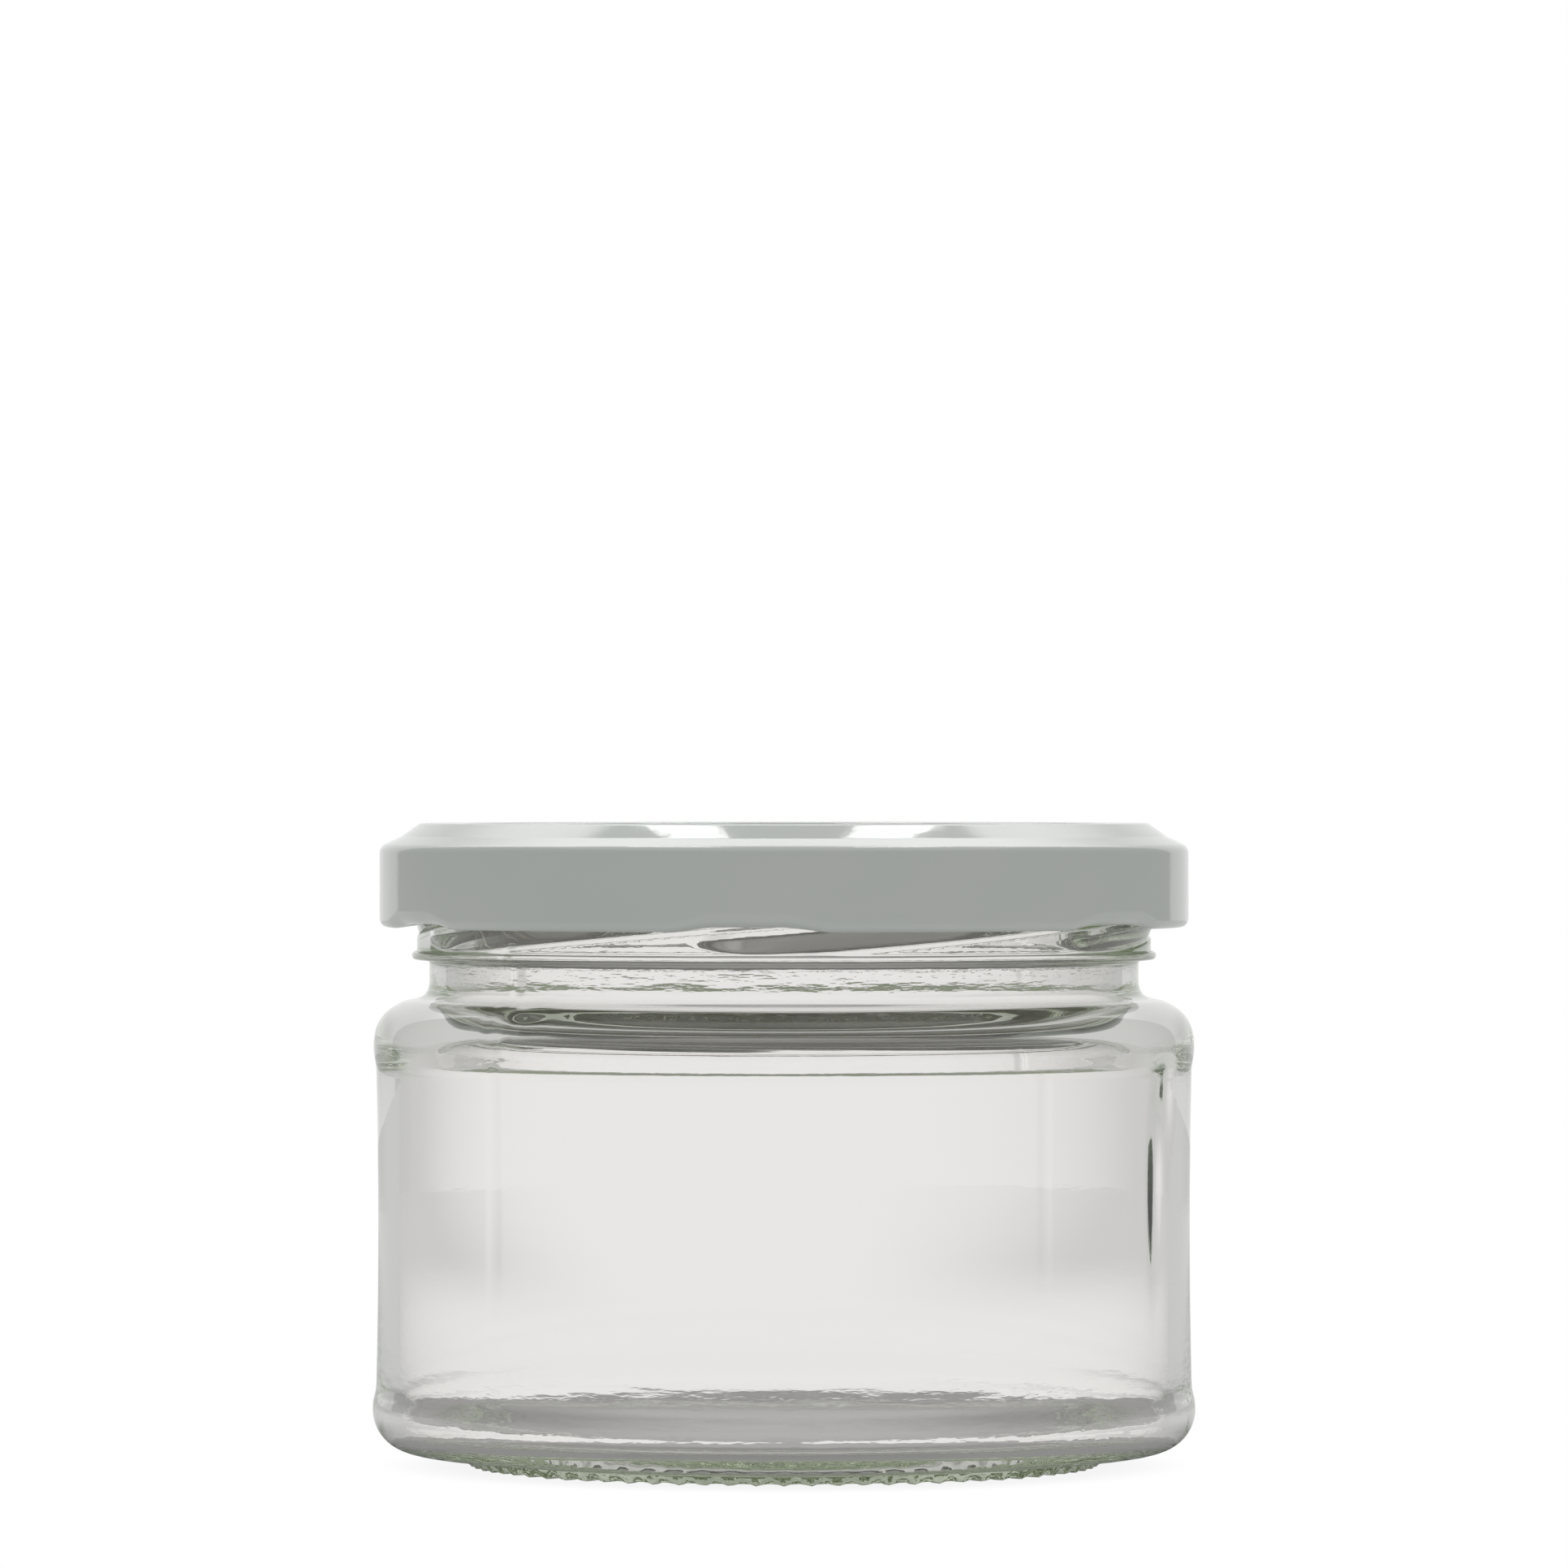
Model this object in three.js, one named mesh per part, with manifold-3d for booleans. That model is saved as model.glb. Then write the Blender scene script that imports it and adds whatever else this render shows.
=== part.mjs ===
// Twist-off jar: a squat glass jar with a six-start thread, a lacquered tinplate lug lid pressed
// from one sheet, and the sealing ring that is cast into the lid's channel.
// Millimetres, +Z up. The origin is the centre of the ring that the jar stands on. The front is -Y,
// and every turn is counted from the front, counter-clockwise from above.

import * as THREE from "three";
import { mergeVertices } from "three/addons/utils/BufferGeometryUtils.js";
import Module from "manifold-3d";

const wasm = await Module();
wasm.setup();

// Jar body
const jarHeight = 66.1; // floor to sealing rim
const bodyRadius = 42.8; // both ends of the label panel
const panelWaist = 0.2; // how far the panel draws in at its middle
const shoulderBulge = 0.3; // shoulder roll, proud of the panel
const shoulderHeight = 7.0; // widest point of the shoulder to the foot of the neck
const shoulderFade = 3.0; // shoulder roll down to the panel
const heelBulge = 0.4; // heel roll, proud of the panel
const heelCentre = 5.9; // height of the heel's widest point
const heelRound = 4.35; // radius under the heel
const heelWrap = 85; // degrees that this round turns through
const heelFade = 3.1; // heel roll up to the panel
const wallThickness = 2.4;

// Flare from the shoulder up to the neck, as shares of its own run and height
const flareTurnRun = 0.52; // neck out to where the curve turns over
const flareTurnDrop = 0.35; // foot of the neck down to there
const flareAngle = 26; // degrees off level where it turns over
const flareRoundBelow = 0.37; // how fully the shoulder rounds off
const flareRoundAbove = 0.34; // how fully the curve rounds into the neck
const flarePullBelow = 0.32; // straightness just below the turn
const flarePullAbove = 0.28; // straightness just above it

// Jar base
const bearingRadius = 33.0; // outer edge of the ring that touches the table
const bearingWidth = 1.7;
const bearingStep = 1.2; // the ring stands this far below the underside beside it
const bearingFlank = 0.8; // run of the ring's sloping sides
const pushUp = 2.6; // hollow under the middle of the base
const pushUpFlank = 3.0; // run over which the hollow comes down to the ring
const baseThickness = 2.6;
const floorRound = 1.4; // inside corner between the floor and the wall
const floorLevel = 0.7; // share of its radius in to which the floor leaves its edge level
const floorCrown = 0.5; // share of its radius out to which its crown is level

// Inside of the shoulder, where the bore opens out
const innerFlareRise = 0.1; // its upper end above the foot of the neck
const innerFlareDrop = 2.0; // its lower end below the widest point of the shoulder
const innerPullTop = 0.8; // share of its height that it stays upright for at the top
const innerPullFoot = 0.75; // and at the foot

// Jar finish: the neck, the bead and the thread
const neckRadius = 37.25;
const neckLength = 2.1; // bead down to the flare of the shoulder
const boreRadius = 34.8;
const rimRound = 0.9;
const finishHeight = 13.0; // sealing rim down to the underside of the bead
const finishRadius = 38.3; // floor of the thread grooves
const beadRadius = 39.1;
const beadHeight = 0.9;
const threadStarts = 6;
const threadPitch = 3.33; // from one ridge to the next, straight up
const ridgeWidth = 1.65; // at the groove floor
const ridgeCrestWidth = 0.9;
const ridgeHeight = 0.9;
const ridgeFootHeight = 0.3; // lower where a ridge runs out into the bead
const ridgeClimbTurn = 30; // degrees from there up to its full height
const ridgeFlank = 1.5; // run of the long lower flank, where no lug passes
const ridgeFlankTurn = 14; // degrees behind a lug where that flank starts to grow
const ridgeFlankFade = 16; // degrees over which it grows
const ridgeRoot = 0.4; // share of its height that is sunk in the wall
const ridgeTopDrop = 2.9; // sealing rim down to the top of the highest ridge end
const ridgeFadeTurn = 12; // degrees over which a ridge dies out at its top end
const ridgeSink = 1.05; // share of its height that it sinks by there
const pocketRise = 0.95; // closed end of a groove above the bead
const pocketTurnWidth = 6; // degrees to each side over which the closed end is rounded
const lugDrop = 8.19; // sealing rim down to the middle of a seated lug

// Lid sheet
const sheet = 0.2;
const skirtClearance = 3.1; // ridge crest to the inside of the skirt
const skirtBelowLug = 1.41; // middle of a lug down to the bottom edge of the skirt
const hemRadius = 0.9; // rolled bottom edge
const hemTail = 0.25; // sheet edge past the top of the roll
const shoulderRound = 1.1;
const shoulderDrop = 2.45; // top of the lid down to the corner of the skirt
const bevelTopInset = 4.25; // skirt in to the top edge of the bevel
const bevelFootInset = 2.3; // skirt in to the foot of the bevel
const bevelDrop = 1.4;
const pressRound = 0.7; // radius of the pressed corners
const ringWidth = 3.9; // flat top of the raised ring, over the seal
const panelStep = 1.2; // run of the step from the ring in to the centre panel
const panelRecess = 1.1; // centre panel below the raised ring

// Lugs pressed out of the hem
const lugThickness = 1.1;
const lugTipClearance = 0.5; // lug tip to the groove floor
const lugTailGap = 0.6; // folded edge to the inside of the skirt
const lugDent = 1.4; // radius of the dent that a lug leaves outside
const lugHalfTurn = 6.6; // degrees from the middle of a lug to its end
const lugEndTurn = 4.8; // degrees over which the end turns back into the hem
const lugFrontTurn = -5; // where the front lug sits when the lid is closed, in degrees

// Sealing ring
const sealThickness = 0.75;
const sealRound = 0.25;
const sealSideGap = 0.35; // to the step and to the bevel
const sealTopGap = 0.1; // to the sheet above
const sealRimGap = 0.25; // to the glass rim below

// How finely round shapes are divided
const turnSteps = 60;
const turnStep = 360 / turnSteps;
const samePoint = 1e-4; // corners closer than this are one corner

// Places that follow from the sizes above
const ridgeCrest = finishRadius + ridgeHeight;
const lidRadius = ridgeCrest + skirtClearance + sheet;
const lidTop = jarHeight + sealRimGap + sealThickness + sealTopGap + sheet;
const lugMiddle = jarHeight - lugDrop;
const lugTip = finishRadius + lugTipClearance;
const lidBottom = lugMiddle - skirtBelowLug;
const threadSlope = (threadPitch * threadStarts) / 360;
const beadBottom = jarHeight - finishHeight;
const beadTop = beadBottom + beadHeight;
const neckFoot = beadBottom - neckLength;
const shoulderCentre = neckFoot - shoulderHeight;

const point = (r, z) => new THREE.Vector2(r, z);

const { degToRad: radians, lerp, smoothstep } = THREE.MathUtils;

function arc(r, z, radius, fromDegrees, toDegrees, steps) {
  const start = radians(fromDegrees);
  const end = radians(toDegrees);
  const clockwise = end < start;
  return new THREE.EllipseCurve(r, z, radius, radius, start, end, clockwise).getPoints(steps);
}

function sweep(from, fromHandle, toHandle, to, steps) {
  return new THREE.CubicBezierCurve(from, fromHandle, toHandle, to).getPoints(steps);
}

// A soft change from one radius to another, upright at both ends
function ease(from, to, steps) {
  const middle = (from.y + to.y) / 2;
  return sweep(from, point(from.x, middle), point(to.x, middle), to, steps);
}

// A corner between two straight lines, rounded
function corner(before, at, after, radius, steps) {
  const into = before.clone().sub(at).normalize();
  const out = after.clone().sub(at).normalize();
  const half = Math.acos(THREE.MathUtils.clamp(into.dot(out), -1, 1)) / 2;
  const reach = radius / Math.tan(half);
  const start = at.clone().addScaledVector(into, reach);
  const end = at.clone().addScaledVector(out, reach);
  const centre = at.clone().addScaledVector(into.clone().add(out).normalize(), radius / Math.sin(half));
  const points = [];
  for (let i = 0; i <= steps; i++) {
    const chord = start.clone().lerp(end, i / steps).sub(centre);
    points.push(centre.clone().add(chord.setLength(radius)));
  }
  return points;
}

function outline(...stretches) {
  const points = stretches.flat();
  return points.filter((p, i) => i === 0 || p.distanceTo(points[i - 1]) > samePoint);
}

// Lathe an outline about Z. Column 0 is at the front.
function turned(profile) {
  return new THREE.LatheGeometry(profile, turnSteps).rotateX(Math.PI / 2);
}

// Put a point of a section at a turn from the front
function placeAt(positions, index, turn, r, z) {
  positions.setXYZ(index, r * Math.sin(radians(turn)), -r * Math.cos(radians(turn)), z);
}

// Join the shared corners and leave out triangles that have shrunk to a line
function welded(geometry) {
  geometry.deleteAttribute("normal");
  geometry.deleteAttribute("uv");
  const merged = mergeVertices(geometry, samePoint);
  const corners = merged.index.array;
  const kept = [];
  for (let i = 0; i < corners.length; i += 3) {
    const [a, b, c] = [corners[i], corners[i + 1], corners[i + 2]];
    if (a !== b && b !== c && c !== a) kept.push(a, b, c);
  }
  merged.setIndex(kept);
  return merged;
}

function toSolid(geometry) {
  const closed = welded(geometry);
  const vertProperties = new Float32Array(closed.attributes.position.array);
  const triVerts = new Uint32Array(closed.index.array);
  return new wasm.Manifold(new wasm.Mesh({ numProp: 3, vertProperties, triVerts }));
}

function toGeometry(solid) {
  const mesh = solid.getMesh();
  const geometry = new THREE.BufferGeometry();
  geometry.setAttribute("position", new THREE.BufferAttribute(mesh.vertProperties, 3));
  geometry.setIndex(new THREE.BufferAttribute(mesh.triVerts, 1));
  geometry.computeVertexNormals();
  return geometry;
}

// Outside of the jar below the thread, from the middle of the base up
function jarOutside() {
  const bearingInner = bearingRadius - bearingWidth;
  const heel = point(bodyRadius + heelBulge, heelCentre);
  const shoulder = point(bodyRadius + shoulderBulge, shoulderCentre);
  const panelBottom = point(bodyRadius, heelCentre + heelFade);
  const panelTop = point(bodyRadius, shoulderCentre - shoulderFade);
  const panelMiddle = point(bodyRadius - 2 * panelWaist, (panelBottom.y + panelTop.y) / 2);
  const panel = new THREE.QuadraticBezierCurve(panelBottom, panelMiddle, panelTop);

  const hollow = [
    point(0, pushUp),
    point(bearingInner / 2, pushUp),
    point(bearingInner - pushUpFlank, bearingStep),
    point(bearingInner - bearingFlank, bearingStep / 2),
  ];
  return outline(
    sweep(...hollow, 3),
    point(bearingInner, 0),
    point(bearingRadius, 0),
    point(bearingRadius + bearingFlank, bearingStep),
    arc(heel.x - heelRound, heelCentre, heelRound, -heelWrap, 0, 5),
    ease(heel, panelBottom, 3),
    panel.getPoints(2),
    ease(panelTop, shoulder, 3),
    flare(shoulder, point(neckRadius, neckFoot)),
  );
}

// The flare turns over part of the way up, from the round of the shoulder to the hollow of the neck
function flare(shoulder, neck) {
  const run = shoulder.x - neck.x;
  const rise = neck.y - shoulder.y;
  const turnOver = point(neck.x + flareTurnRun * run, neck.y - flareTurnDrop * rise);
  const slope = point(-Math.cos(radians(flareAngle)), Math.sin(radians(flareAngle)));
  const aboveShoulder = point(shoulder.x, shoulder.y + flareRoundBelow * rise);
  const belowTurn = turnOver.clone().addScaledVector(slope, -flarePullBelow * run);
  const aboveTurn = turnOver.clone().addScaledVector(slope, flarePullAbove * run);
  const belowNeck = point(neck.x, neck.y - flareRoundAbove * rise);
  return [
    ...sweep(shoulder, aboveShoulder, belowTurn, turnOver, 4),
    ...sweep(turnOver, aboveTurn, belowNeck, neck, 4),
  ];
}

// Bead, groove floor and sealing rim, from the neck up and over into the bore
function finishOutside() {
  const beadRound = beadHeight / 2;
  return outline(
    point(neckRadius, beadBottom - beadRound),
    arc(neckRadius + beadRound, beadBottom - beadRound, beadRound, 180, 90, 2),
    arc(beadRadius - beadRound, beadBottom + beadRound, beadRound, -90, 90, 3),
    point(finishRadius, beadTop + beadRound),
    arc(finishRadius - rimRound, jarHeight - rimRound, rimRound, 0, 90, 2),
    arc(boreRadius + rimRound, jarHeight - rimRound, rimRound, 90, 180, 2),
  );
}

// Inside of the jar, from the bore down to the middle of the floor
function jarInside() {
  const insideRadius = bodyRadius - wallThickness;
  const flareTop = neckFoot + innerFlareRise;
  const flareFoot = shoulderCentre - innerFlareDrop;
  const flareHeight = flareTop - flareFoot;
  const innerFlare = [
    point(boreRadius, flareTop),
    point(boreRadius, flareTop - innerPullTop * flareHeight),
    point(insideRadius, flareFoot + innerPullFoot * flareHeight),
    point(insideRadius, flareFoot),
  ];
  const floorMiddle = pushUp + baseThickness;
  const floorEdge = bearingStep + baseThickness;
  const floorRadius = insideRadius - floorRound;
  const floorDome = [
    point(floorRadius, floorEdge),
    point(floorRadius * floorLevel, floorEdge),
    point(floorRadius * floorCrown, floorMiddle),
    point(0, floorMiddle),
  ];
  return outline(
    sweep(...innerFlare, 8),
    arc(floorRadius, floorEdge + floorRound, floorRound, 0, -90, 4),
    sweep(...floorDome, 5),
  );
}

// One ridge of the thread. It climbs to the right as seen from the front: its foot fills the corner
// above the bead, then it stands free over its groove, and it fades out below the sealing rim.
// Turns are counted from the lug that bears up against it.
function threadRidge(lugTurn) {
  // Sections stand between the columns of the wall, never on them
  const betweenColumns = (turn) => (Math.round(turn / turnStep) + 0.5) * turnStep;
  const grooveWidth = threadPitch - ridgeWidth;
  const lowerAt = (turn) => lugMiddle + grooveWidth / 2 + threadSlope * turn;
  const turnWhereLower = (z) => (z - lugMiddle - grooveWidth / 2) / threadSlope;
  const footTurn = betweenColumns(turnWhereLower(beadTop - ridgeWidth));
  const pocketTurn = turnWhereLower(beadTop + pocketRise);
  const topTurn = betweenColumns(turnWhereLower(jarHeight - ridgeTopDrop - ridgeWidth));

  // Section drawn one unit wide and high: 0 is the groove floor, 1 the crest, below 0 the root
  const slant = (1 - ridgeCrestWidth / ridgeWidth) / 2;
  const section = new THREE.Shape([
    point(-ridgeRoot, -ridgeRoot * slant),
    point(1, slant),
    point(1, 1 - slant),
    point(-ridgeRoot, 1 + ridgeRoot * slant),
  ]);
  const steps = (topTurn - footTurn) / turnStep;
  const ridge = new THREE.ExtrudeGeometry(section, { depth: 1, steps, bevelEnabled: false });
  const positions = ridge.attributes.position;
  for (let i = 0; i < positions.count; i++) {
    const turn = lerp(topTurn, footTurn, positions.getZ(i));
    const free = smoothstep(turn, pocketTurn - pocketTurnWidth, pocketTurn + pocketTurnWidth);
    const climb = smoothstep(turn, pocketTurn - pocketTurnWidth, pocketTurn + ridgeClimbTurn);
    const full = smoothstep(topTurn - turn, 0, ridgeFadeTurn);
    const height = lerp(ridgeFootHeight, ridgeHeight, climb);
    const foot = finishRadius - ridgeSink * height * (1 - full);
    const lower = lerp(beadBottom + beadHeight / 2, lowerAt(turn), free);
    const upper = lowerAt(turn) + ridgeWidth;
    const behindLug = smoothstep(-turn, ridgeFlankTurn, ridgeFlankTurn + ridgeFlankFade);
    const flank = ridgeFlank * behindLug * free * (1 - positions.getX(i));
    const r = foot + positions.getX(i) * height;
    placeAt(positions, i, lugTurn + turn, r, lerp(lower - flank, upper, positions.getY(i)));
  }
  return ridge;
}

function glassJar() {
  const profile = outline(jarOutside(), finishOutside(), jarInside());
  let jar = toSolid(turned(profile));
  for (let start = 0; start < threadStarts; start++) {
    jar = jar.add(toSolid(threadRidge((start * 360) / threadStarts)));
  }
  return toGeometry(jar);
}

// Edges of the lid's raised ring, shared by the lid and the seal
const bevelTop = point(lidRadius - bevelTopInset, lidTop);
const ringInner = bevelTop.x - ringWidth;

// Top face of the sheet from the middle of the lid to the top of the skirt
function lidTopFace() {
  const middle = point(0, lidTop - panelRecess);
  const stepFoot = point(ringInner - panelStep, lidTop - panelRecess);
  const stepTop = point(ringInner, lidTop);
  const bevelFoot = point(lidRadius - bevelFootInset, lidTop - bevelDrop);
  const skirtTop = point(lidRadius, lidTop - shoulderDrop);
  const skirtFoot = point(lidRadius, lidBottom);
  return outline(
    middle,
    corner(middle, stepFoot, stepTop, pressRound, 2),
    corner(stepFoot, stepTop, bevelTop, pressRound, 2),
    corner(stepTop, bevelTop, bevelFoot, pressRound, 2),
    corner(bevelTop, bevelFoot, skirtTop, pressRound, 1),
    corner(bevelFoot, skirtTop, skirtFoot, shoulderRound, 4),
  );
}

// Outer face of the bottom edge. Pressed 0 is the plain rolled hem and pressed 1 is a lug: the same
// sheet drawn in towards the thread and flattened. A lug leans with the thread.
function lidEdgeFace(pressed, turnFromLug) {
  const mix = (hem, lug) => lerp(hem, lug, pressed);
  const round = mix(hemRadius, lugDent);
  const half = mix(hemRadius, lugThickness / 2);
  const lean = threadSlope * turnFromLug;
  const bottom = mix(lidBottom, lugMiddle - lugThickness / 2 + lean);
  const tip = mix(lidRadius - hemRadius, lugTip + lugThickness / 2);
  const tail = mix(lidRadius - hemRadius + hemTail, lidRadius - sheet - lugTailGap);
  return [
    ...arc(lidRadius - round, bottom + round, round, 0, -90, 3),
    ...arc(tip, bottom + half, half, -90, -270, 6),
    point(tail, bottom + 2 * half),
  ];
}

// Section of the sheet: the outer face, then the inner face one sheet thickness away
function lidSection(pressed, turnFromLug) {
  const outer = [...lidTopFace(), ...lidEdgeFace(pressed, turnFromLug)];
  const inner = outer.map((p, i) => {
    const before = outer[Math.max(i - 1, 0)];
    const after = outer[Math.min(i + 1, outer.length - 1)];
    const along = after.clone().sub(before).normalize();
    return point(p.x + along.y * sheet, p.y - along.x * sheet);
  });
  inner[0].x = 0;
  return [...inner, ...outer.reverse()];
}

// How far the hem is pressed into a lug: full over the lug, gone a little beside it
function lugPress(turnFromLug) {
  return 1 - smoothstep(Math.abs(turnFromLug), lugHalfTurn, lugHalfTurn + lugEndTurn);
}

function lidShell() {
  const lid = turned(lidSection(0, 0));
  const sectionLength = lidSection(0, 0).length;
  const lugSpacing = 360 / threadStarts;
  const positions = lid.attributes.position;
  for (let column = 0; column <= turnSteps; column++) {
    const turn = column * turnStep;
    const turnFromLug = turn - Math.round(turn / lugSpacing) * lugSpacing;
    const section = lidSection(lugPress(turnFromLug), turnFromLug);
    section.forEach((p, i) => placeAt(positions, column * sectionLength + i, turn, p.x, p.y));
  }
  return toGeometry(toSolid(lid));
}

// Flowed-in ring of sealing compound, rounded on its free edges
function sealingRing() {
  const inner = ringInner + sealSideGap;
  const outer = bevelTop.x - sealSideGap;
  const top = lidTop - sheet - sealTopGap;
  const bottom = top - sealThickness;
  const profile = outline(
    arc(outer - sealRound, bottom + sealRound, sealRound, -90, 0, 1),
    arc(outer - sealRound, top - sealRound, sealRound, 0, 90, 1),
    arc(inner + sealRound, top - sealRound, sealRound, 90, 180, 1),
    arc(inner + sealRound, bottom + sealRound, sealRound, 180, 270, 1),
    point(outer - sealRound, bottom),
  );
  return toGeometry(toSolid(turned(profile)));
}

function piece(name, geometry, material) {
  const mesh = new THREE.Mesh(geometry, material);
  mesh.name = name;
  return mesh;
}

const clearGlass = new THREE.MeshStandardMaterial({
  color: 0xe4e8e2, roughness: 0.05, metalness: 0, transparent: true, opacity: 0.35,
});
const whiteLacquer = new THREE.MeshStandardMaterial({ color: 0xc9ccc6, roughness: 0.25, metalness: 0.1 });
const sealingCompound = new THREE.MeshStandardMaterial({ color: 0xd8d6cc, roughness: 0.7, metalness: 0 });

// Everything is made with a lug at the front, then turned to where the front lug sits
const twistOffJar = new THREE.Group();
twistOffJar.add(piece("glass_jar", glassJar(), clearGlass));
twistOffJar.add(piece("lid_shell", lidShell(), whiteLacquer));
twistOffJar.add(piece("sealing_ring", sealingRing(), sealingCompound));
twistOffJar.rotation.z = radians(lugFrontTurn);

export default twistOffJar;
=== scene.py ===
import math
import bpy
import numpy as np
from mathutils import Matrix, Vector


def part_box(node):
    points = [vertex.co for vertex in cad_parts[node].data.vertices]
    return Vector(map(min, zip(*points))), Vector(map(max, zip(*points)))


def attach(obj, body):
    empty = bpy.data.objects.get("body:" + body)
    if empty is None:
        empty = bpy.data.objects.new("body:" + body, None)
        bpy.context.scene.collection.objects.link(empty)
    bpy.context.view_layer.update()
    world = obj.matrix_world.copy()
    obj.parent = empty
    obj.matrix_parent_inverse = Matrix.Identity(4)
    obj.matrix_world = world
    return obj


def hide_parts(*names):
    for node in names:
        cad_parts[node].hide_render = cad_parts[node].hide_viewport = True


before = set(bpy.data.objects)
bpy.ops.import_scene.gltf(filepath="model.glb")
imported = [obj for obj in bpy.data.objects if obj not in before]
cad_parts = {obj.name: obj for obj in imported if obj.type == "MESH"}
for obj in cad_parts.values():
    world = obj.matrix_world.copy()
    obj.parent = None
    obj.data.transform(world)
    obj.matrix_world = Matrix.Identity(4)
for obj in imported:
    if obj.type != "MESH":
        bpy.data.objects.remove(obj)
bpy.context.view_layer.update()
mm = 0.001           # all sizes below are in millimetres
samePoint = 0.002    # points of an outline nearer than this are one
sameVertex = 0.001
handleReach = 3 / 4  # share of the way to its two handles that a sweep gets

# heights and radii that the solids already fix
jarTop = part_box("glass_jar")[1].z / mm
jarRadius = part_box("glass_jar")[1].x / mm - 0.005  # just inside, so that no facet stands out
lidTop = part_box("lid_shell")[1].z / mm
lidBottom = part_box("lid_shell")[0].z / mm
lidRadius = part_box("lid_shell")[1].x / mm
print("frame loaded, jar", round(jarTop, 2), "mm tall, lid", round(2 * lidRadius, 2), "mm across")


# outlines: lists of (radius, height) points

def mix(a, b, share):
    return a + (b - a) * share


def smooth(x):
    x = np.clip(x, 0.0, 1.0)
    return x * x * (3 - 2 * x)


def line(start, end, steps):
    return [(mix(start[0], end[0], i / steps), mix(start[1], end[1], i / steps)) for i in range(steps + 1)]


def arc(r, z, radius, fromDegrees, toDegrees, steps):
    angles = [math.radians(mix(fromDegrees, toDegrees, i / steps)) for i in range(steps + 1)]
    return [(r + radius * math.cos(a), z + radius * math.sin(a)) for a in angles]


def sweep(start, startHandle, endHandle, end, steps):
    points = []
    for i in range(steps + 1):
        t = i / steps
        weights = ((1 - t) ** 3, 3 * t * (1 - t) ** 2, 3 * t * t * (1 - t), t ** 3)
        corners = (start, startHandle, endHandle, end)
        points.append(tuple(sum(w * c[axis] for w, c in zip(weights, corners)) for axis in (0, 1)))
    return points


def ease(start, end, steps):  # upright at both ends
    middle = (start[1] + end[1]) / 2
    return sweep(start, (start[0], middle), (end[0], middle), end, steps)


def corner(before, at, after, radius, steps):  # rounded corner between two straight runs
    before, at, after = (np.array(p, float) for p in (before, at, after))
    into = (before - at) / np.linalg.norm(before - at)
    out = (after - at) / np.linalg.norm(after - at)
    half = math.acos(float(np.clip(into @ out, -1, 1))) / 2
    start, end = at + into * radius / math.tan(half), at + out * radius / math.tan(half)
    middle = at + (into + out) / np.linalg.norm(into + out) * radius / math.sin(half)
    points = []
    for i in range(steps + 1):
        chord = mix(start, end, i / steps) - middle
        points.append(tuple(middle + chord / np.linalg.norm(chord) * radius))
    return points


def joined(*stretches):
    points = [p for stretch in stretches for p in stretch]
    return [p for i, p in enumerate(points) if i == 0 or math.dist(p, points[i - 1]) > samePoint]


# modelling steps

def deselectAll():
    if bpy.context.mode != "OBJECT":
        bpy.ops.object.mode_set(mode="OBJECT")
    bpy.ops.object.select_all(action="DESELECT")


def pick(piece):
    deselectAll()
    piece.select_set(True)
    bpy.context.view_layer.objects.active = piece


def drawOutline(name, points):  # one vertex, extruded from point to point
    deselectAll()
    bpy.ops.mesh.primitive_plane_add(size=mm)
    piece = bpy.context.object
    piece.name = name
    piece.data.name = name
    bpy.ops.object.mode_set(mode="EDIT")
    bpy.ops.mesh.select_all(action="SELECT")
    bpy.ops.mesh.merge(type="CENTER")
    bpy.ops.transform.translate(value=(points[0][0] * mm, 0, points[0][1] * mm))
    for a, b in zip(points, points[1:]):
        step = ((b[0] - a[0]) * mm, 0, (b[1] - a[1]) * mm)
        bpy.ops.mesh.extrude_vertices_move(TRANSFORM_OT_translate={"value": step})
    return piece


def spinRound(columns):
    bpy.ops.mesh.select_all(action="SELECT")
    bpy.ops.mesh.spin(steps=columns, angle=2 * math.pi, center=(0, 0, 0), axis=(0, 0, 1))
    bpy.ops.mesh.select_all(action="SELECT")
    bpy.ops.mesh.remove_doubles(threshold=sameVertex * mm)
    bpy.ops.mesh.normals_make_consistent(inside=False)
    bpy.ops.object.mode_set(mode="OBJECT")


def readRings(piece):  # radius, height and turn from the front of every vertex
    places = np.zeros(len(piece.data.vertices) * 3)
    piece.data.vertices.foreach_get("co", places)
    x, y, z = places.reshape(-1, 3).T / mm
    return np.hypot(x, y), z, np.degrees(np.arctan2(x, -y))


def writeRings(piece, r, z, turn):
    angle = np.radians(turn)
    places = np.stack([r * np.sin(angle), -r * np.cos(angle), z], 1) * mm
    piece.data.vertices.foreach_set("co", places.ravel())
    piece.data.update()


def storeShare(piece, name, values):  # one number for each vertex, for the material to read
    share = piece.data.attributes.new(name, "FLOAT", "POINT")
    share.data.foreach_set("value", values.astype(np.float32))


def shadeSmooth(piece, degrees):
    pick(piece)
    bpy.ops.object.shade_smooth_by_angle(angle=math.radians(degrees))


# parts of the materials

def newMaterial(name):
    material = bpy.data.materials.new(name)
    material.use_nodes = True
    return material, material.node_tree


def feed(tree, socket, value):  # another node's output is linked, a fixed value is set
    if isinstance(value, bpy.types.NodeSocket):
        tree.links.new(value, socket)
    else:
        socket.default_value = value


def blend(tree, share, first, second, kind="FLOAT"):  # one value or colour going over into another
    node = tree.nodes.new("ShaderNodeMix")
    node.data_type = kind
    tree.links.new(share, node.inputs["Factor"])
    feed(tree, node.inputs["A"], first)
    feed(tree, node.inputs["B"], second)
    return node.outputs["Result"]


def shareAt(tree, name):  # what storeShare has stored
    node = tree.nodes.new("ShaderNodeAttribute")
    node.attribute_name = name
    return node.outputs["Fac"]


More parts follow.
